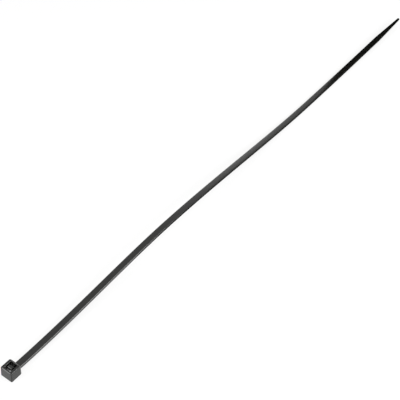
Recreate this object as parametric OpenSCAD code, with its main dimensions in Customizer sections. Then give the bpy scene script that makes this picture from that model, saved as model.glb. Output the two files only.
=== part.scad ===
// A miniature nylon cable tie, moulded in one piece and lying as it comes to rest.
// The strap leaves the head along +X, its smooth outer face is up and its toothed inner face is down.
// The origin is the middle of the strap channel at the head's entry face, which lies on the ground.

/* [Overall] */
// Length from the front of the head to the tip of the tail, measured along X
overall_len = 300; // [160:1:380]

/* [Strap] */
// Width of the strap across its two side rails
strap_w = 2.6; // [2.2:0.05:3.6]
// Thickness of the strap, from the outer face to the foot of the rails
strap_t = 1.25; // [1:0.05:1.5]
// Width of the bevel along each of the strap's four long edges
edge_bevel = 0.15; // [0.05:0.01:0.25]
// How far the drafted sides swell at the parting line, half way up the edge
parting_swell = 0.04; // [0.01:0.01:0.08]
// Height of the foot of the strap above the head's entry face, where the two join
strap_seat = 0.75; // [0.4:0.05:1.7]

/* [Teeth] */
// Distance from one tooth to the next along the strap
tooth_pitch = 1; // [0.8:0.05:1.6]
// Depth of the tooth valleys, measured from the foot of the rails
tooth_depth = 0.46; // [0.3:0.02:0.6]
// How far the tooth crests stay above the foot of the rails
crest_inset = 0.06; // [0.02:0.01:0.12]
// Width of each side rail that the teeth run between
rail_w = 0.32; // [0.2:0.02:0.5]
// Distance from the head to the first tooth
first_tooth = 8; // [4:0.5:40]
// Length of the plain tail behind the last tooth
plain_tail = 33; // [28:1:60]

/* [Tail] */
// Length over which the tail narrows to its tip
taper_len = 25; // [10:1:28]
// Width of the tail where its rounded tip begins
tip_w = 1.1; // [0.7:0.05:1.6]
// Thickness of the tail at its tip
tip_t = 0.8; // [0.5:0.05:1]

/* [Rest shape] */
// Slope of the strap where it leaves the head, as rise over run
root_slope = -0.025; // [-0.04:0.005:0.04]
// Where the strap is highest, as a share of its length
crest_share = 0.285; // [0.2:0.005:0.4]
// Height of the strap's middle line at its highest place
crest_z = 5.35; // [3:0.05:9]
// Where the strap touches the ground, as a share of its length
touch_share = 0.66; // [0.55:0.01:0.75]
// Height of the strap's middle line at the tip of the tail
tip_z = 2.4; // [1:0.1:6]
// Slope of the strap at the tip of the tail, as rise over run
tip_slope = 0.02; // [0:0.005:0.06]

/* [Head] */
// Length of the head along the strap
head_len = 4.95; // [4.3:0.05:6]
// Width of the head across the strap
head_w = 5.15; // [4:0.05:6]
// Height of the head, from its entry face to its exit face
head_h = 4.4; // [3.9:0.05:5.2]
// How much narrower the head is at its exit face than at its entry face
head_draft = 0.2; // [0:0.02:0.4]
// Radius of the head's two upright corners away from the strap
front_corner_r = 0.45; // [0.2:0.05:0.6]
// Radius of the head's two upright corners beside the strap
back_corner_r = 0.8; // [0.3:0.05:0.9]
// Radius of the rounded edges round the head's exit face
exit_edge_r = 0.35; // [0.15:0.05:0.45]
// Radius of the shoulder above the strap, where the exit face turns down
shoulder_r = 0.95; // [0.4:0.05:1]
// Radius of the rounded edges round the head's entry face
entry_edge_r = 0.2; // [0.1:0.02:0.3]

/* [Channel and pawl] */
// Thickness of the wall that the passing strap slides on, opposite the pawl
guide_wall = 0.75; // [0.6:0.05:1.2]
// Play of the strap in its channel, through its thickness
channel_play = 0.15; // [0.08:0.01:0.25]
// Play of the strap in the opening at each of its edges
side_play = 0.15; // [0.06:0.01:0.2]
// Length of the opening through the head, along the strap
opening_len = 3.35; // [2.6:0.05:3.5]
// Height and width of the funnel that leads the tail into the channel
funnel = 0.35; // [0.15:0.05:0.45]
// Bevel round the rim of the opening at the exit face
rim_bevel = 0.2; // [0.05:0.01:0.25]
// Gap between each edge of the pawl and the rail beside it
pawl_side_gap = 0.1; // [0.05:0.01:0.2]
// Thickness of the pawl behind its teeth
pawl_t = 0.6; // [0.5:0.02:0.7]
// How far the pawl's teeth reach into the strap channel
pawl_bite = 0.4; // [0.2:0.02:0.45]
// How far the tip of the pawl stays below the exit face
pawl_drop = 0.2; // [0.1:0.05:0.9]
// Height of the pawl's hinge above the entry face
hinge_z = 0.55; // [0.4:0.05:0.8]
// Thickness of the flexible hinge that joins the pawl to the head
hinge_t = 0.7; // [0.5:0.05:0.9]

/* [Hidden] */
overshoot = 1;
arc_steps = 6;
ring_step = 5;
tip_angles = [0, 20, 40, 60, 75, 86];
tail_rings = 6;
root_sink = 0.5;
pawl_teeth = 2;

channel_t = strap_t + channel_play;
opening_w = strap_w + 2 * side_play;
channel_w = strap_w - 2 * rail_w;
pawl_w = channel_w - 2 * pawl_side_gap;

front_x = -guide_wall - channel_t / 2;
back_x = front_x + head_len;
opening_x = front_x + guide_wall;
pawl_x = opening_x + channel_t;
opening_end_x = opening_x + opening_len;

tip_x = front_x + overall_len;
strap_len = tip_x - back_x;
taper_x = tip_x - taper_len;
tip_r = tip_w / 2;
last_tooth_x = tip_x - plain_tail;
tooth_count = floor((last_tooth_x - back_x - first_tooth) / tooth_pitch);

// The strap's middle line: each stop is [x, height, slope], and smooth cubic pieces join them.
stops = [
    [back_x, strap_seat + strap_t / 2, root_slope],
    [back_x + crest_share * strap_len, crest_z, 0],
    [back_x + touch_share * strap_len, strap_t / 2, 0],
    [tip_x, tip_z, tip_slope]
];

function piece_at(x) = x < stops[1][0] ? 0 : x < stops[2][0] ? 1 : 2;
function share_at(x, i) = (x - stops[i][0]) / (stops[i + 1][0] - stops[i][0]);

// Height of a cubic that starts at height a with slope ma and ends at height b with slope mb.
function cubic(u, run, a, ma, b, mb) =
    a * (1 - 3 * u * u + 2 * u * u * u)
    + b * (3 * u * u - 2 * u * u * u)
    + ma * run * (u - 2 * u * u + u * u * u)
    + mb * run * (u * u * u - u * u);

function middle_on(x, i) =
    cubic(share_at(x, i), stops[i + 1][0] - stops[i][0], stops[i][1], stops[i][2],
          stops[i + 1][1], stops[i + 1][2]);

function middle_z(x) =
    x < back_x ? stops[0][1] + root_slope * (x - back_x) : middle_on(x, piece_at(x));

function tilt(x) = atan2(middle_z(x + 0.05) - middle_z(x - 0.05), 0.1);

// A point of the strap: x along the middle line, y across it and h outward from it.
function on_strap(x, y, h) = [x - h * sin(tilt(x)), y, middle_z(x) + h * cos(tilt(x))];

// The outline of a polygon with rounded corners, from points of the form [x, y, radius].
function unit(v) = v / norm(v);
function corner_arc(before, corner, after, r) =
    let (
        p = unit(before - corner),
        q = unit(after - corner),
        half = acos(p * q) / 2,
        centre = corner + unit(p + q) * r / sin(half),
        start = corner + p * r / tan(half),
        end = corner + q * r / tan(half)
    )
    [for (i = [0:arc_steps])
        let (spoke = unit((start - centre) * (arc_steps - i) + (end - centre) * i))
        centre + spoke * r];

function rounded(points) =
    let (n = len(points))
    [for (i = [0:n - 1])
        let (
            before = points[(i + n - 1) % n],
            corner = points[i],
            after = points[(i + 1) % n]
        )
        for (p = corner_arc([before.x, before.y], [corner.x, corner.y], [after.x, after.y], corner.z))
            p];

// Stands an outline drawn in X and Z upright, with the given width across Y.
module across(width) {
    rotate([90, 0, 0])
        linear_extrude(height = width, center = true)
            children();
}

// The rings that the smooth strap is swept through: even steps, then the taper, then the round tip.
body_steps = ceil((taper_x - back_x) / ring_step);
ring_places = concat(
    [back_x - root_sink],
    [for (i = [0:body_steps - 1]) back_x + (taper_x - back_x) * i / body_steps],
    [for (i = [0:tail_rings - 1]) taper_x + (taper_len - tip_r) * i / tail_rings],
    [for (a = tip_angles) tip_x - tip_r + tip_r * sin(a)]
);

function narrowing(x) = x < taper_x ? 0 : min(1, (x - taper_x) / (taper_len - tip_r));
function round_off(x) = x < tip_x - tip_r ? 1 : sqrt(max(0, 1 - pow((x - tip_x + tip_r) / tip_r, 2)));
function width_at(x) = (strap_w + (tip_w - strap_w) * narrowing(x)) * round_off(x);
function thickness_at(x) = strap_t + (tip_t - strap_t) * narrowing(x);

// The strap's cross-section: bevelled edges, and drafted sides that meet at the parting line.
function section(x) =
    let (
        w = width_at(x) / 2,
        t = thickness_at(x) / 2,
        c = min(edge_bevel, w / 2, t / 2),
        s = min(parting_swell, w / 8)
    )
    [[w - s - c, t], [w - s, t - c], [w, 0], [w - s, c - t], [w - s - c, -t],
     [s + c - w, -t], [s - w, c - t], [-w, 0], [s - w, t - c], [s + c - w, t]];

module smooth_strap() {
    rings = len(ring_places);
    sides = len(section(back_x));
    points = [for (x = ring_places) for (p = section(x)) on_strap(x, p.x, p.y)];
    walls = [for (i = [0:rings - 2]) for (j = [0:sides - 1])
        let (k = (j + 1) % sides)
        [i * sides + j, i * sides + k, (i + 1) * sides + k, (i + 1) * sides + j]];
    root_end = [for (j = [0:sides - 1]) sides - 1 - j];
    tip_end = [for (j = [0:sides - 1]) (rings - 1) * sides + j];
    polyhedron(points = points, faces = concat(walls, [root_end, tip_end]));
}

// The space under the strap that leaves the teeth standing between the rails.
// Each tooth has its steep locking face toward the head and its ramp toward the tail.
module tooth_channel() {
    first_x = back_x + first_tooth;
    valley = tooth_depth - strap_t / 2;
    crest = crest_inset - strap_t / 2;
    saw = [for (i = [0:tooth_count - 1]) for (h = [valley, crest])
        on_strap(first_x + i * tooth_pitch, 0, h)];
    outline = concat(
        [[first_x - tooth_pitch / 2, -overshoot]],
        [for (p = concat([on_strap(first_x - tooth_pitch / 2, 0, valley)], saw)) [p.x, p.z]],
        [[first_x + (tooth_count - 1) * tooth_pitch, -overshoot]]
    );
    across(channel_w)
        polygon(outline);
}

module strap() {
    difference() {
        smooth_strap();
        tooth_channel();
    }
}

// The head's block is what three rounded outlines have in common: from above, the side and the front.
module head_block() {
    half_w = head_w / 2;
    top_half_w = half_w - head_draft / 2;
    intersection() {
        translate([0, 0, -overshoot])
            linear_extrude(height = head_h + 2 * overshoot)
                polygon(rounded([
                    [front_x, -half_w, front_corner_r],
                    [back_x, -half_w, back_corner_r],
                    [back_x, half_w, back_corner_r],
                    [front_x, half_w, front_corner_r]
                ]));
        across(head_w + 2 * overshoot)
            polygon(rounded([
                [front_x, 0, entry_edge_r],
                [back_x, 0, entry_edge_r],
                [back_x, head_h, shoulder_r],
                [front_x + head_draft / 2, head_h, exit_edge_r]
            ]));
        translate([front_x - overshoot, 0, 0])
            rotate([90, 0, 90])
                linear_extrude(height = head_len + 2 * overshoot)
                    polygon(rounded([
                        [-half_w, 0, entry_edge_r],
                        [half_w, 0, entry_edge_r],
                        [top_half_w, head_h, exit_edge_r],
                        [-top_half_w, head_h, exit_edge_r]
                    ]));
    }
}

// The opening through the head: the strap channel, the pawl's room, the entry funnel and the exit rim.
module opening() {
    translate([opening_x, -opening_w / 2, -overshoot])
        cube([opening_len, opening_w, head_h + 2 * overshoot]);
    across(opening_w)
        polygon([
            [opening_x - funnel, -overshoot],
            [opening_x - funnel, 0],
            [opening_x, 2 * funnel],
            [opening_x + overshoot, 2 * funnel],
            [opening_x + overshoot, -overshoot]
        ]);
    hull() {
        translate([opening_x, -opening_w / 2, head_h - rim_bevel])
            cube([opening_len, opening_w, rim_bevel]);
        translate([opening_x - rim_bevel, -opening_w / 2 - rim_bevel, head_h])
            cube([opening_len + 2 * rim_bevel, opening_w + 2 * rim_bevel, overshoot]);
    }
}

// The pawl: a tongue that rises from a thin hinge on the wall beside the strap.
// Its teeth face the channel, flat on top and sloped below, so the strap slides up and can't slide back.
module pawl() {
    tip = head_h - pawl_drop;
    bite_x = pawl_x - pawl_bite;
    teeth = [for (i = [0:pawl_teeth - 1])
        for (p = [[bite_x, tip - i * tooth_pitch], [pawl_x, tip - (i + 1) * tooth_pitch]]) p];
    across(pawl_w)
        polygon(concat(
            [[opening_end_x + root_sink / 2, hinge_z + hinge_t],
             [pawl_x + pawl_t + 0.1, hinge_z + hinge_t],
             [pawl_x + pawl_t, tip]],
            teeth,
            [[pawl_x + 0.1, hinge_z + hinge_t / 2],
             [opening_end_x + root_sink / 2, hinge_z]]
        ));
}

module head() {
    difference() {
        head_block();
        opening();
    }
    pawl();
}

module cable_tie() {
    color([0.1, 0.1, 0.1]) {
        strap();
        head();
    }
}

cable_tie();
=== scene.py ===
# %% [markdown]
# A miniature nylon cable tie
#
# The real thing is one shot of black nylon: a long strap with a ladder of teeth on its inner face,
# a pointed tail, and a square head with a sprung pawl in it. It lies loose on a pale table.
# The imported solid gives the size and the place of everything. This lesson gives it the soft
# moulded edges, the slightly crowned face and the satin black finish that the eye expects.

import bpy
import numpy as np
from mathutils import Matrix, Vector


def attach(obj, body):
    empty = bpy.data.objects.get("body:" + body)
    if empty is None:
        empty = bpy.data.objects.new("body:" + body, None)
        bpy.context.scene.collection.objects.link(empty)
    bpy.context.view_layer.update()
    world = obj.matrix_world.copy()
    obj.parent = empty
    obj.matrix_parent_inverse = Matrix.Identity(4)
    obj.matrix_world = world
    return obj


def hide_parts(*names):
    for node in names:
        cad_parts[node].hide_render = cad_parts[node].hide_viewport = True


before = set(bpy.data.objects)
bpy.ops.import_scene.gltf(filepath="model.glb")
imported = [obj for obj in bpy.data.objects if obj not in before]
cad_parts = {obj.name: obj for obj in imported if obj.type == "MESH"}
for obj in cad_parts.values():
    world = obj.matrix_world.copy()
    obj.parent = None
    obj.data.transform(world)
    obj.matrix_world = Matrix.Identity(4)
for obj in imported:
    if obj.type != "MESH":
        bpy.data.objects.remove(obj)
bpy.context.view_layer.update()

# %% [markdown]
# Sizes
#
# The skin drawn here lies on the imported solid, so it starts from the same sizes, in millimetres.
# They could be measured from the solid, but written out they read like a drawing of the product.

# %% Sizes of the strap and of the head, in millimetres
FRONT_X = -1.45
BACK_X = 3.5
TIP_X = 298.55
STRAP_W = 2.6
STRAP_T = 1.25
TIP_W = 1.1
TIP_T = 0.8
TAPER_LENGTH = 25
RAIL_W = 0.32
TOOTH_PITCH = 1
TOOTH_DEPTH = 0.46
CREST_INSET = 0.06
FIRST_TOOTH = 8
PLAIN_TAIL = 33
HEAD_W = 5.15
HEAD_H = 4.4
HEAD_DRAFT = 0.2
OPENING = (-0.7, 2.65)
OPENING_W = 2.9
PLAY = 0.15
print("whole length:", round(TIP_X - FRONT_X, 2), "mm")

# %% [markdown]
# The middle line
#
# A loose tie is never straight. It leaves the head almost level, arches up, comes down to touch
# the table about two thirds of the way along, and lifts again towards the tail. Four stops with a
# height and a slope each, joined by cubic pieces, give that line without any wobble in between.

# %% Height and slope of the middle line
STRAP_LENGTH = TIP_X - BACK_X
STOPS = [
    (BACK_X, 1.375, -0.025),
    (BACK_X + 0.285 * STRAP_LENGTH, 5.35, 0.0),
    (BACK_X + 0.66 * STRAP_LENGTH, STRAP_T / 2, 0.0),
    (TIP_X, 2.4, 0.02),
]


def middle_line(x):
    """Height and slope at each x. Between two stops a distance run apart, with u from 0 to 1,
    the height is the start height times (1 - 3u^2 + 2u^3), plus the end height times
    (3u^2 - 2u^3), plus run times the start slope times (u - 2u^2 + u^3), plus run times the
    end slope times (u^3 - u^2). The slope is the derivative of that. Before the first stop the
    line is straight."""
    height = STOPS[0][1] + STOPS[0][2] * (x - BACK_X)
    slope = np.full_like(x, STOPS[0][2])
    for (x0, z0, m0), (x1, z1, m1) in zip(STOPS[:-1], STOPS[1:]):
        run = x1 - x0
        u = np.clip((x - x0) / run, 0, 1)
        cubic = (z0 * (1 - 3 * u**2 + 2 * u**3) + z1 * (3 * u**2 - 2 * u**3)
                 + run * m0 * (u - 2 * u**2 + u**3) + run * m1 * (u**3 - u**2))
        rise = ((z1 - z0) * (6 * u - 6 * u**2) / run
                + m0 * (1 - 4 * u + 3 * u**2) + m1 * (3 * u**2 - 2 * u))
        here = x >= x0
        height = np.where(here, cubic, height)
        slope = np.where(here, rise, slope)
    return height, slope


heights, _ = middle_line(np.linspace(BACK_X, TIP_X, 600))
print("highest middle line:", round(float(heights.max()), 2), "mm")

# %% [markdown]
# From arrays to meshes
#
# Each surface below is a grid: rows along one direction and columns along the other. One helper
# numbers the four-cornered faces of such a grid, and another turns points and faces into an
# object, marks the real corners sharp and leaves the rest smooth.

# %% Helpers for grids and meshes
MM = 0.001
SHARP_ANGLE = np.radians(32)


def grid_faces(rows, columns, close_rows=False):
    """Faces of a grid whose columns go all the way round: point (i, j) has number
    i * columns + j, and each face joins two rows and two columns next to each other."""
    i = np.arange(rows if close_rows else rows - 1)[:, None]
    j = np.arange(columns)[None, :]
    below, after = (i + 1) % rows, (j + 1) % columns
    corners = [i * columns + j, i * columns + after, below * columns + after, below * columns + j]
    return np.stack(np.broadcast_arrays(*corners), axis=-1).reshape(-1, 4)


def make_piece(name, points, quads, fans=(), caps=()):
    """An object from points in millimetres. Each fan closes an open ring with triangles that
    meet in a middle point: (numbers of the ring's points, number of the middle point). Each
    cap is the numbers of the points round one flat face with many corners."""
    faces = quads.tolist() + [list(cap) for cap in caps]
    for ring, middle in fans:
        ring = np.asarray(ring)
        faces += np.stack([ring, np.roll(ring, -1), np.full_like(ring, middle)], axis=1).tolist()
    mesh = bpy.data.meshes.new(name)
    mesh.from_pydata((points * MM).tolist(), [], faces)
    mesh.polygons.foreach_set("use_smooth", np.ones(len(mesh.polygons), dtype=bool))
    mesh.set_sharp_from_angle(angle=SHARP_ANGLE)
    mesh.update()
    piece = bpy.data.objects.new(name, mesh)
    bpy.context.scene.collection.objects.link(piece)
    print(name, "has", len(points), "points and", len(faces), "faces")
    return piece


# %% [markdown]
# The strap
#
# The strap could be an extruded curve, but its section changes all the way: teeth come and go,
# the tail narrows, and a small fillet joins it to the head. So it is a grid, with one row for
# each place along the line and one column for each point of the section. The long edges have a
# bevel with softened ends, which catches a line of light. The outer face is crowned by two
# hundredths of a millimetre, as moulded nylon shrinks, and that shades it from side to side.

# %% Places along the strap: pairs of rows at each tooth, even steps elsewhere, closer at the tip
ROOT = 0.5
FILLET = 0.3
TOOTH_EDGE = 0.02
TIP_ANGLES = np.radians([0, 15, 30, 45, 57, 68, 77, 84, 88])
channel_start = BACK_X + FIRST_TOOTH - TOOTH_PITCH / 2
tooth_count = int((TIP_X - PLAIN_TAIL - BACK_X - FIRST_TOOTH) / TOOTH_PITCH)
tooth_x = BACK_X + FIRST_TOOTH + TOOTH_PITCH * np.arange(tooth_count)
channel_end = tooth_x[-1]
tip_radius = TIP_W / 2
places = np.concatenate([
    [BACK_X - ROOT],
    BACK_X + FILLET * (1 - np.cos(np.linspace(0, np.pi / 2, 7))),
    np.linspace(BACK_X + 1, channel_start - TOOTH_EDGE, 8),
    [channel_start + TOOTH_EDGE],
    (tooth_x[:, None] + [-TOOTH_EDGE, TOOTH_EDGE]).ravel()[:-1],
    [channel_end + TOOTH_EDGE],
    np.linspace(channel_end + 1, TIP_X - TAPER_LENGTH - 1, 8),
    np.linspace(TIP_X - TAPER_LENGTH, TIP_X - tip_radius - 1, 24),
    TIP_X - tip_radius + tip_radius * np.sin(TIP_ANGLES),
])
print(len(places), "rows along the strap,", tooth_count, "teeth")


# %% How wide, how thick and how deep the strap is at each place
# A thin dark thing on white looks thinner in a small picture than it is, so the drawn strap is
# this much wider on each side than the solid.
SKIN = 0.08
TIP_THINNING = 0.45
PLAIN_DEPTH = 0.004


def strap_sizes(x):
    """Half width, half thickness and channel depth at each x. Both halves fall in a straight
    line over the tail, the width follows a half circle at the tip, the thickness loses a share
    there that grows with the fourth power of the way, and near the head both grow by a
    quarter-circle fillet. The channel is as deep as a valley on the head's side of each tooth
    and as shallow as a crest on its other side, and a straight ramp runs down to the next
    valley. Where there are no teeth, the channel is all but gone."""
    share = np.clip((x - TIP_X + TAPER_LENGTH) / (TAPER_LENGTH - tip_radius), 0, 1)
    past = np.clip((x - TIP_X + tip_radius) / tip_radius, 0, 1)
    half_w = ((STRAP_W + (TIP_W - STRAP_W) * share) / 2 + SKIN) * np.sqrt(1 - past**2)
    half_t = (STRAP_T + (TIP_T - STRAP_T) * share) / 2 * (1 - TIP_THINNING * past**4)
    near = np.clip(1 - (x - BACK_X) / FILLET, 0, 1)
    flare = FILLET * (1 - np.sqrt(1 - near**2))
    toothed = (x > channel_start) & (x < channel_end)
    since = np.where(x < tooth_x[0], 1, (x - tooth_x[0]) / TOOTH_PITCH % 1)
    depth = np.where(toothed, CREST_INSET + (TOOTH_DEPTH - CREST_INSET) * since, PLAIN_DEPTH)
    return half_w + flare, half_t + flare, depth


# %% The section, as columns that run once round the strap
BEVEL = 0.19
CROWN = 0.022
SWELL = 0.04
RIDGE = 0.012
RIDGE_HALF = 0.05
# Where the tail is narrow, the bevel and half the channel take these shares of it at most.
MOST_BEVEL = 0.45
MOST_CHANNEL = 0.7
# How far each point of the bevel is from the edge, across the face and down the side.
BEVEL_FACE = np.array([[1, 0.87, 0.74, 0.14, 0.04, 0]])
BEVEL_SIDE = BEVEL_FACE[:, ::-1]


def strap_section(half_w, half_t, depth):
    """Side and height of each point of the section, for all the rows at once. The outer face
    falls from its middle by the crown times the square of the share of the way to its edge.
    Each long edge has a bevel at 45 degrees that turns into the face and the side in two
    steps. The sides swell to a parting line with a fine ridge on it. Between the rails, the
    inner face is as deep as the channel. Where the tail is narrow, the bevel, the swell, the
    crown and the channel shrink with it."""
    w, t = half_w[:, None], half_t[:, None]
    b = np.minimum(BEVEL, MOST_BEVEL * np.minimum(w, t))
    swell = np.minimum(SWELL, w / 8)
    crown = CROWN * np.minimum(1, w / (STRAP_W / 2)) ** 2
    side = w - swell
    across = np.linspace(1, -1, 11)[None, :]
    face_y, face_h = (side - b) * across, t - crown * across**2
    top_y = side - b * BEVEL_FACE
    top_h = t - crown - b * BEVEL_SIDE
    line = np.minimum(RIDGE_HALF, t / 8)
    edge_y = np.concatenate([w - RIDGE, w, w - RIDGE], axis=1)
    edge_h = np.concatenate([line, 0 * line, -line], axis=1)
    foot_y = side - b * BEVEL_SIDE
    foot_h = b * BEVEL_FACE - t
    rail = np.minimum(STRAP_W / 2 - RAIL_W, MOST_CHANNEL * (side - b))
    floor = depth[:, None] - t
    under_y = np.concatenate([rail, rail, 0 * rail, -rail, -rail], axis=1)
    under_h = np.concatenate([-t, floor, floor, floor, -t], axis=1)
    y = np.concatenate([face_y[:, 1:-1][:, ::-1], top_y, edge_y, foot_y, under_y,
                        -foot_y[:, ::-1], -edge_y[:, ::-1], -top_y[:, ::-1]], axis=1)
    h = np.concatenate([face_h[:, 1:-1][:, ::-1], top_h, edge_h, foot_h, under_h,
                        foot_h[:, ::-1], edge_h[:, ::-1], top_h[:, ::-1]], axis=1)
    return y, h


# %% Sweep the section along the middle line
y, h = strap_section(*strap_sizes(places))
height, slope = middle_line(places)
lean = np.arctan(slope)[:, None]
strap_points = np.stack([
    places[:, None] - h * np.sin(lean),
    y,
    height[:, None] + h * np.cos(lean),
], axis=-1)
rows, columns = y.shape
ends = np.array([strap_points[0].mean(axis=0), strap_points[-1].mean(axis=0)])
first_ring = np.arange(columns)
last_ring = (rows - 1) * columns + first_ring[::-1]
strap = make_piece(
    "strap",
    np.concatenate([strap_points.reshape(-1, 3), ends]),
    grid_faces(rows, columns)[:, ::-1],
    fans=[(first_ring, rows * columns), (last_ring, rows * columns + 1)],
)

# %% [markdown]
# The head
#
# The head is a small block with a hole through it, so its skin closes on itself like a square
# ring. Each row of the grid is one outline that goes round the head: up the outside, over the
# rounded rim, across the top, down the inside of the opening and back under the base. Booleans
# would leave hard, ragged edges here, while rows can be put just where the rounding is.


# %% One outline with rounded corners
CORNER_POINTS = 9
SIDE_POINTS = 7


def outline(x0, x1, half_w, front_r, back_r):
    """Points and outward directions of a rectangle from x0 to x1 with rounded corners. A corner
    point is the corner's centre plus its radius times the cosine and sine of its direction,
    and even steps join one corner to the next."""
    corners = [(x1, half_w, back_r, 0), (x0, half_w, front_r, 90),
               (x0, -half_w, front_r, 180), (x1, -half_w, back_r, 270)]
    points, directions = [], []
    for x, y_side, r, start in corners:
        a = np.radians(np.linspace(start, start + 90, CORNER_POINTS))
        spoke = np.stack([np.cos(a), np.sin(a)], axis=1)
        middle = np.array([x - np.sign(x - (x0 + x1) / 2) * r, y_side - np.sign(y_side) * r])
        points.append(middle + r * spoke)
        directions.append(spoke)
    steps = np.linspace(0, 1, SIDE_POINTS)[1:-1, None]
    ring, outward = [], []
    for k in range(4):
        after = (k + 1) % 4
        ring += [points[k], points[k][-1] + steps * (points[after][0] - points[k][-1])]
        outward += [directions[k], np.repeat(directions[k][-1:], len(steps), axis=0)]
    return np.concatenate(ring), np.concatenate(outward)


# %% Roundings of the head
BASE_R = 0.2
RIM_R = 0.35
FRONT_RIM = 0.38
SHOULDER_R = 0.95
FRONT_CORNER_R = 0.45
BACK_CORNER_R = 0.8
RIM_BEVEL = 0.2
OPENING_R = 0.15
FUNNEL = 0.35
# Extra rows lie this far from a rounding and hold its ends in place.
ROW_GAP = 0.04
ARC = np.radians([0, 15, 30, 45, 60, 75, 90])

outer, outward = outline(FRONT_X, BACK_X, HEAD_W / 2, FRONT_CORNER_R, BACK_CORNER_R)
draft_share = np.where(outward[:, 0] > 0, np.abs(outward[:, 1]), 1)
back_share = np.clip(outward[:, 0], 0, 1) ** 3
front_share = np.clip(-outward[:, 0], 0, 1) ** 3
top_r = RIM_R + (SHOULDER_R - RIM_R) * back_share + (FRONT_RIM - RIM_R) * front_share
print("the top's rounding goes from", round(top_r.min(), 2), "to", round(top_r.max(), 2), "mm")


def shoulder_drop(x):
    """How far the rounded shoulder lies below the head's top at x: the shoulder's radius less
    the root of its square minus the square of the way past the shoulder's start."""
    past = np.clip(x - (BACK_X - SHOULDER_R), 0, SHOULDER_R)
    return SHOULDER_R - np.sqrt(SHOULDER_R**2 - past**2)


# %% One row of the outside and one of the opening
def skin_row(inset, z):
    """The outer outline moved inwards by an inset and by the draft, at height z. The draft
    grows evenly from nothing at the base to half of HEAD_DRAFT on each side at the top, and the
    back wall has none."""
    inset = inset + draft_share * HEAD_DRAFT / 2 * z / HEAD_H
    flat = outer - outward * np.reshape(inset, (-1, 1))
    return np.column_stack([flat, np.broadcast_to(z, len(flat))])


def opening_row(grow, z, lead=0.0):
    """The opening's outline at height z, larger all round by grow, and by lead at the front.
    In the upper half it follows the shoulder down."""
    flat, _ = outline(OPENING[0] - grow - lead, OPENING[1] + grow, OPENING_W / 2 + grow,
                      OPENING_R + grow, OPENING_R + grow)
    return np.column_stack([flat, z - (z > HEAD_H / 2) * shoulder_drop(flat[:, 0])])


# %% Rows of the base and of the walls
base_rows = [skin_row(BASE_R * (1 - np.sin(a)), BASE_R * (1 - np.cos(a))) for a in ARC]
wall_rows = [
    skin_row(0, BASE_R + ROW_GAP + share * (HEAD_H - top_r - BASE_R - 2 * ROW_GAP))
    for share in (0, 0.5, 1)]

# %% Rows over the rim
# The front rim is a narrow flat with softened ends, and the other rims are circular. The shoulder
# is cut short where it meets the opening's bevel.
FLAT_IN = np.array([0, 0.02, 0.06, 0.32, 0.6, 0.82, 1])
longest = BACK_X - OPENING[1] - RIM_BEVEL - ROW_GAP
last_angle = np.arccos(1 - np.minimum(1, longest / top_r))
rim_rows = []
for share, flat_in, flat_down in zip(np.linspace(0, 1, len(ARC)), FLAT_IN, FLAT_IN[::-1]):
    a = share * last_angle
    rim_in = (1 - front_share) * (1 - np.cos(a)) + front_share * flat_in
    rim_down = (1 - front_share) * (1 - np.sin(a)) + front_share * flat_down
    rim_rows.append(skin_row(top_r * rim_in, HEAD_H - top_r * rim_down))

# %% Rows down the opening, and the whole skin
bevel_rows = [opening_row(RIM_BEVEL + 0.01, HEAD_H)] + [
    opening_row(RIM_BEVEL * (1 - np.sin(a)), HEAD_H - RIM_BEVEL * (1 - np.cos(a))) for a in ARC]
inner_rows = [
    opening_row(0, z)
    for z in (HEAD_H - RIM_BEVEL - ROW_GAP, HEAD_H / 2, 2 * FUNNEL + ROW_GAP, 2 * FUNNEL)]
funnel_rows = [
    opening_row(0, z, lead)
    for z, lead in ((FUNNEL, FUNNEL / 2), (0.02, FUNNEL), (0, FUNNEL))]
head_rows = np.stack(base_rows + wall_rows + rim_rows + bevel_rows + inner_rows + funnel_rows)
head_faces = grid_faces(*head_rows.shape[:2], close_rows=True)
head = make_piece("head", head_rows.reshape(-1, 3), head_faces)

# %% [markdown]
# The pawl
#
# Through the opening one sees a small tongue, the pawl, hinged low on the wall beside the strap.
# Its teeth point into the channel, flat on top and sloped below, so that the strap slides up and
# can't slide back. The first point ends in a small facet, which catches the light. The pawl is
# a flat profile carried across its width, and a Bevel modifier softens its edges.

# %% The pawl as a prism
PAWL_X = OPENING[0] + STRAP_T + PLAY
PAWL_T = 0.75
PAWL_BITE = 0.4
PAWL_FACET = 0.17
PAWL_BELOW_RIM = 0.12
PAWL_TIP_Z = HEAD_H - PAWL_BELOW_RIM
PAWL_GAP = 0.1
PAWL_W = STRAP_W - 2 * RAIL_W - 2 * PAWL_GAP
PAWL_SPREAD = 0.1
HINGE_DEPTH = 0.25
HINGE_X = OPENING[1] + HINGE_DEPTH
HINGE_Z = (0.55, 0.9, 1.25)
facet_x = PAWL_X - PAWL_BITE * (1 - PAWL_FACET / TOOTH_PITCH)
pawl_profile = np.array([
    [HINGE_X, HINGE_Z[2]],
    [PAWL_X + PAWL_T + PAWL_SPREAD, HINGE_Z[2]],
    [PAWL_X + PAWL_T, PAWL_TIP_Z],
    [facet_x + PAWL_FACET, PAWL_TIP_Z],
    [facet_x, PAWL_TIP_Z - PAWL_FACET],
    [PAWL_X, PAWL_TIP_Z - TOOTH_PITCH],
    [PAWL_X - PAWL_BITE, PAWL_TIP_Z - TOOTH_PITCH],
    [PAWL_X, PAWL_TIP_Z - 2 * TOOTH_PITCH],
    [PAWL_X + PAWL_SPREAD, HINGE_Z[1]],
    [HINGE_X, HINGE_Z[0]],
])
count = len(pawl_profile)
sides = np.repeat([-PAWL_W / 2, PAWL_W / 2], count)
both_x, both_z = np.tile(pawl_profile.T, 2)
pawl_points = np.column_stack([both_x, sides, both_z])
near_end = range(count)
far_end = range(2 * count - 1, count - 1, -1)
pawl = make_piece("pawl", pawl_points, grid_faces(2, count)[:, ::-1], caps=[near_end, far_end])
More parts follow.
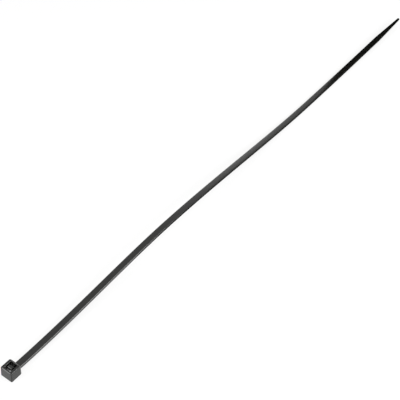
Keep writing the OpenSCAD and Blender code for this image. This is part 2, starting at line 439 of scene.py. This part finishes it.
print("the pawl is", round(PAWL_W, 2), "mm wide and ends", PAWL_BELOW_RIM, "mm below the rim")

# %% [markdown]
# Where the pieces belong
#
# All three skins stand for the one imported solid, which stays hidden for the collision. The tie
# has no joint, so they all ride on its only body. The pawl's edges get their small rounding here.

# %% Finish the pawl and hand the pieces over
def soften(piece, width):
    """Rounds the piece's edges with two segments, width in millimetres."""
    bevel = piece.modifiers.new("soft edges", "BEVEL")
    bevel.width = width * MM
    bevel.segments = 2
    bevel.limit_method = "ANGLE"
    bevel.harden_normals = True
    bevel.angle_limit = np.radians(25)


soften(pawl, 0.06)
for piece in (strap, head):
    flats = piece.modifiers.new("flat faces stay flat", "WEIGHTED_NORMAL")
    flats.keep_sharp = True
for piece in (strap, head, pawl):
    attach(piece, "root")
    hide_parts("cable_tie")
    print(piece.name, "has", len(piece.modifiers), "modifier")

# %% [markdown]
# Colours and nodes
#
# Colours are written as the hex values that a screen shows, so one function turns them into the
# linear values that Blender's sockets take. Another adds a node with its settings and links.


# %% Helpers for colours and nodes
def colour(hex_value):
    """Linear red, green, blue and alpha of an sRGB colour: below 0.04045 a channel is divided by
    12.92, and above it 0.055 is added, the sum divided by 1.055 and raised to the power 2.4."""
    channels = np.array([int(hex_value[k:k + 2], 16) for k in (1, 3, 5)]) / 255
    linear = np.where(channels <= 0.04045, channels / 12.92, ((channels + 0.055) / 1.055) ** 2.4)
    return (*linear.tolist(), 1.0)


def add_node(tree, kind, inputs=None, **settings):
    """Adds a node of this kind. Settings are its own properties. Each input is named or numbered,
    and takes either a plain value or an output socket to be linked."""
    made = tree.nodes.new(kind)
    for name, value in settings.items():
        setattr(made, name, value)
    for name, value in (inputs or {}).items():
        socket = made.inputs[name]
        if isinstance(value, bpy.types.NodeSocket):
            tree.links.new(value, socket)
        else:
            socket.default_value = value
    return made


def new_material(name):
    """A material with an empty node tree."""
    material = bpy.data.materials.new(name)
    material.use_nodes = True
    material.node_tree.nodes.clear()
    return material


# %% [markdown]
# Black nylon 66, injection moulded
#
# Nylon 66 coloured with carbon black is nearly as dark as a surface gets. What the eye sees of it
# is its skin: a satin that is smooth where the steel was polished and a little rougher where it
# was spark eroded, with faint streaks along the way that the melt flowed, and fine rubs from the
# bag it came in. That is roughness and a shallow bump, and a tint is all the colour there is, its
# mottling a painted sheen. Nylon 66 bends light with an index of about 1.53. Here it is 1.48,
# which gives the slightly weaker shine of the real one.

# %% The nylon
nylon = new_material("black nylon 66, moulded satin")
tree = nylon.node_tree
place = add_node(tree, "ShaderNodeTexCoord").outputs["Object"]
in_mm = add_node(tree, "ShaderNodeMapping", {"Vector": place, "Scale": (1000, 1000, 1000)})
along_flow = add_node(tree, "ShaderNodeMapping", {"Vector": place, "Scale": (60, 1500, 1500)})
# The mould's grain is 0.03 to 0.05 mm. It is drawn at 0.12 mm, so that a close view shows it.
grain = add_node(tree, "ShaderNodeTexNoise", {
    "Vector": in_mm.outputs[0], "Scale": 8.0, "Detail": 3.0, "Roughness": 0.6})
# Flow streaks are about 15 mm long and half a millimetre wide, and rubs are as long but finer.
streaks = add_node(tree, "ShaderNodeTexNoise", {
    "Vector": along_flow.outputs[0], "Scale": 1.0, "Detail": 4.0, "Roughness": 0.55})
# Cloudy places, 6 mm across, where the skin cooled a little sooner or later.
clouds = add_node(tree, "ShaderNodeTexNoise", {
    "Vector": in_mm.outputs[0], "Scale": 0.16, "Detail": 2.0, "Roughness": 0.5})
# Mottling about 1.2 mm across in the tint is painted sheen: greyer patches stand in for the uneven shine
# of the satin skin.
painted_sheen_noise = add_node(tree, "ShaderNodeTexNoise", {
    "Vector": in_mm.outputs[0], "Scale": 0.85, "Detail": 3.0, "Roughness": 0.6})
painted_sheen_share = add_node(tree, "ShaderNodeMapRange", {
    "Value": painted_sheen_noise.outputs["Fac"], "From Min": 0.36, "From Max": 0.64})
uneven = add_node(tree, "ShaderNodeMath", {
    0: streaks.outputs["Fac"], 1: clouds.outputs["Fac"]}, operation="ADD")
roughness = add_node(tree, "ShaderNodeMapRange", {
    "Value": uneven.outputs[0], "From Min": 0.6, "From Max": 1.4, "To Min": 0.19, "To Max": 0.27})
tint_and_painted_sheen = add_node(tree, "ShaderNodeMix", {
    "Factor": painted_sheen_share.outputs[0], "A": colour("#040404"), "B": colour("#13130E")},
    data_type="RGBA")
shallow = add_node(tree, "ShaderNodeBump", {
    "Height": streaks.outputs["Fac"], "Strength": 0.5, "Distance": 0.004 * MM})
grained = add_node(tree, "ShaderNodeBump", {
    "Height": grain.outputs["Fac"], "Strength": 0.5, "Distance": 0.003 * MM,
    "Normal": shallow.outputs[0]})
skin = add_node(tree, "ShaderNodeBsdfPrincipled", {
    "Base Color": tint_and_painted_sheen.outputs["Result"], "Roughness": roughness.outputs[0],
    "IOR": 1.48, "Normal": grained.outputs[0]})
add_node(tree, "ShaderNodeOutputMaterial", {"Surface": skin.outputs[0]})
for piece in (strap, head, pawl):
    piece.data.materials.append(nylon)
print("nylon has", len(tree.nodes), "nodes")

# %% [markdown]
# The table
#
# A sheet of white paper reflects about nine tenths of the light. To the camera the paper
# also gives three quarters of its own light, so that it looks as white as the page around a
# product photograph, while its last quarter still takes the tie's shadow. To gloss it is plain
# white.


# %% A pale floor
def seen_directly(tree, to_camera, to_gloss):
    """One share for camera rays, another for glossy and transmission rays, none for the rest."""
    path = add_node(tree, "ShaderNodeLightPath").outputs
    gloss = add_node(tree, "ShaderNodeMath", {
        0: path["Is Glossy Ray"], 1: path["Is Transmission Ray"]}, operation="MAXIMUM")
    shares = [
        add_node(tree, "ShaderNodeMath", {0: ray, 1: share}, operation="MULTIPLY").outputs[0]
        for ray, share in ((path["Is Camera Ray"], to_camera), (gloss.outputs[0], to_gloss))]
    return add_node(tree, "ShaderNodeMath", {0: shares[0], 1: shares[1]}, operation="ADD").outputs[0]


FLOOR_HALF = 2500
PAPER_GLOW = 0.75
paper = new_material("white paper")
tree = paper.node_tree
fibres = add_node(tree, "ShaderNodeTexNoise", {
    "Vector": add_node(tree, "ShaderNodeTexCoord").outputs["Object"], "Scale": 900.0, "Detail": 4.0})
paper_tone = add_node(tree, "ShaderNodeMix", {
    "Factor": fibres.outputs["Fac"], "A": colour("#F3F3F3"), "B": colour("#F8F8F7")},
    data_type="RGBA")
matt = add_node(tree, "ShaderNodeBsdfDiffuse", {"Color": paper_tone.outputs["Result"]})
glow = add_node(tree, "ShaderNodeEmission", {"Color": (1, 1, 1, 1), "Strength": 1.0})
both = add_node(tree, "ShaderNodeMixShader", {
    0: seen_directly(tree, PAPER_GLOW, 1.0), 1: matt.outputs[0], 2: glow.outputs[0]})
add_node(tree, "ShaderNodeOutputMaterial", {"Surface": both.outputs[0]})
corners = FLOOR_HALF * np.array([[-1, -1, 0], [1, -1, 0], [1, 1, 0], [-1, 1, 0]], dtype=float)
floor = make_piece("table", corners, np.array([[0, 1, 2, 3]]))
floor.data.materials.append(paper)

# %% [markdown]
# Light
#
# The room is white on all sides, and most of what the black skin shows is that room. Two softboxes
# beside the head give its edges their bright lines, one behind the strap brightens the far side
# of the arch, and one above lights the table evenly. Dark cards that only the gloss sees stand
# beside and beyond the tail and paint a dark reflection on it: without them, the tail would be as
# grey as the rest, and the change from grey to black tells where the strap turns up again. The
# strap's upright side mirrors the table right beside it, so a glowing sheet that only the gloss
# sees lies there and paints that reflection, white near the head and grey further on. A real
# studio does the same with graded card.

# %% The white room
world = bpy.data.worlds.new("white room")
bpy.context.scene.world = world
world.use_nodes = True
tree = world.node_tree
tree.nodes.clear()
dim = add_node(tree, "ShaderNodeBackground", {"Color": colour("#F6F6F6"), "Strength": 0.55})
full = add_node(tree, "ShaderNodeBackground", {"Color": colour("#F8F8F8"), "Strength": 1.0})
either = add_node(tree, "ShaderNodeMixShader", {
    0: seen_directly(tree, 1.0, 1.0), 1: dim.outputs[0], 2: full.outputs[0]})
add_node(tree, "ShaderNodeOutputWorld", {"Surface": either.outputs[0]})
print("the room lights the tie at", round(dim.inputs["Strength"].default_value, 2))


# %% Softboxes
def softbox(name, target, azimuth, elevation, distance, width, height, level):
    """A rectangular lamp that looks at a target from a direction. The direction's parts are the
    cosine of the elevation times the cosine and the sine of the azimuth, and the sine of the
    elevation. A lamp of this level looks as bright as a white of that strength, because its
    power is the level times pi times its area."""
    a, e = np.radians([azimuth, elevation])
    way = Vector((np.cos(e) * np.cos(a), np.cos(e) * np.sin(a), np.sin(e)))
    data = bpy.data.lights.new(name, "AREA")
    data.shape = "RECTANGLE"
    data.size, data.size_y = width * MM, height * MM
    data.energy = level * np.pi * data.size * data.size_y
    lamp = bpy.data.objects.new(name, data)
    lamp.matrix_world = Matrix.Translation((Vector(target) + distance * way) * MM) \
        @ way.to_track_quat("Z", "Y").to_matrix().to_4x4()
    bpy.context.scene.collection.objects.link(lamp)
    print(name, "gives", round(data.energy, 2), "W")
    return lamp


softbox("right softbox", (0, 0, 3), -65, 27, 620, 380, 250, 9.5)
softbox("left softbox", (0, 0, 3), 149, 26, 620, 320, 400, 6.0)
softbox("back softbox", (130, 0, 3), 33, 25, 700, 180, 200, 2.0)
softbox("top softbox", (100, 0, 0), -150, 65, 900, 500, 500, 3.0)


# %% Cards that only the gloss sees: they paint dark and graded reflections
def card(name, corners, quads, material):
    """A flat card from corner points. It shows in reflections and nowhere else: the camera doesn't
    see it, it takes no soft light away and throws no shadow."""
    made = make_piece(name, np.array(corners, dtype=float), np.array(quads))
    made.data.materials.append(material)
    made.visible_camera = False
    made.visible_diffuse = False
    made.visible_shadow = False
    return made


# Black cards that paint a dark reflection on the tail, where the gloss would otherwise see the white
# room.
painted_dark_reflection = new_material("painted dark reflection")
painted_dark_reflection_shader = add_node(painted_dark_reflection.node_tree, "ShaderNodeBsdfDiffuse", {"Color": colour("#0A0A0A")})
add_node(painted_dark_reflection.node_tree, "ShaderNodeOutputMaterial", {"Surface": painted_dark_reflection_shader.outputs[0]})


def standing_card(name, foot, azimuth, width, height):
    """A card that stands on the table: from its foot it runs along the azimuth and upwards."""
    foot = np.array(foot, dtype=float)
    along = width * np.array([np.cos(np.radians(azimuth)), np.sin(np.radians(azimuth)), 0.0])
    up = np.array([0.0, 0.0, height])
    return card(name, [foot, foot + along, foot + along + up, foot + up], [[0, 1, 2, 3]], painted_dark_reflection)


standing_card("card beside the tail", (252, 14, 0.1), 4.6, 180, 140)
standing_card("card beyond the tail", (342, 32, 0.1), -50, 420, 260)

# %% The glowing sheet on the table that paints the strap side's reflection
# The sheet glows white near the head, fades to grey along the arch and to near black under the tail: a
# painted reflection that only the gloss sees.
GREY_FROM, GREY_FULL, GREY = 52, 82, 0.07
DARK_FROM, DARK_FULL, DARK = 205, 235, 0.05
SHEET_END = 460
SHEET_HALF = 260
SHEET_Z = 0.02
# Beside the arch the sheet ends under the strap. From DARK_FROM on it passes under the tail.
SHEET_EDGE = -0.4
painted_reflection_sheet = new_material("painted reflection, graded grey")
tree = painted_reflection_sheet.node_tree
sheet_place = add_node(tree, "ShaderNodeSeparateXYZ", {
    0: add_node(tree, "ShaderNodeTexCoord").outputs["Object"]}).outputs["X"]
to_grey = add_node(tree, "ShaderNodeMapRange", {
    "Value": sheet_place, "From Min": GREY_FROM * MM, "From Max": GREY_FULL * MM,
    "To Min": 1.0, "To Max": GREY})
to_dark = add_node(tree, "ShaderNodeMapRange", {
    "Value": sheet_place, "From Min": DARK_FROM * MM, "From Max": DARK_FULL * MM,
    "To Min": 1.0, "To Max": DARK})
painted_reflection_level = add_node(tree, "ShaderNodeMath", {
    0: to_grey.outputs[0], 1: to_dark.outputs[0]}, operation="MULTIPLY")
painted_reflection_glow = add_node(tree, "ShaderNodeEmission", {
    "Color": (1, 1, 1, 1), "Strength": painted_reflection_level.outputs[0]})
add_node(tree, "ShaderNodeOutputMaterial", {"Surface": painted_reflection_glow.outputs[0]})
sheet_corners = [
    (GREY_FROM, -SHEET_HALF), (DARK_FROM, -SHEET_HALF), (DARK_FROM, SHEET_EDGE), (GREY_FROM, SHEET_EDGE),
    (SHEET_END, -SHEET_HALF), (SHEET_END, SHEET_HALF), (DARK_FROM, SHEET_HALF)]
card("painted reflection sheet", [(x, y_side, SHEET_Z) for x, y_side in sheet_corners],
     [[0, 1, 2, 3], [1, 4, 5, 6]], painted_reflection_sheet)

# %% [markdown]
# The camera
#
# It stands in front of the head, to its right, and looks down along the strap through a lens of
# 79 mm, with a slight roll, as the photograph was taken.

# %% Camera
LENS = 78.6
EYE = Vector((-115.53, -134.46, 247.84))
AHEAD = Vector((0.62699, 0.37337, -0.68373))
RIGHT = Vector((0.57703, -0.81223, 0.08561))

camera_data = bpy.data.cameras.new("camera")
camera_data.lens = LENS
camera_data.sensor_width = 36
camera_data.clip_start = 0.01
camera = bpy.data.objects.new("camera", camera_data)
bpy.context.scene.collection.objects.link(camera)
back = -AHEAD.normalized()
right = (RIGHT - RIGHT.dot(back) * back).normalized()
turn = Matrix((right, back.cross(right), back)).transposed().to_4x4()
camera.matrix_world = Matrix.Translation(EYE * MM) @ turn
bpy.context.scene.camera = camera
bpy.context.scene.view_settings.view_transform = "Standard"
print("the camera is", round(EYE.length), "mm from the head")
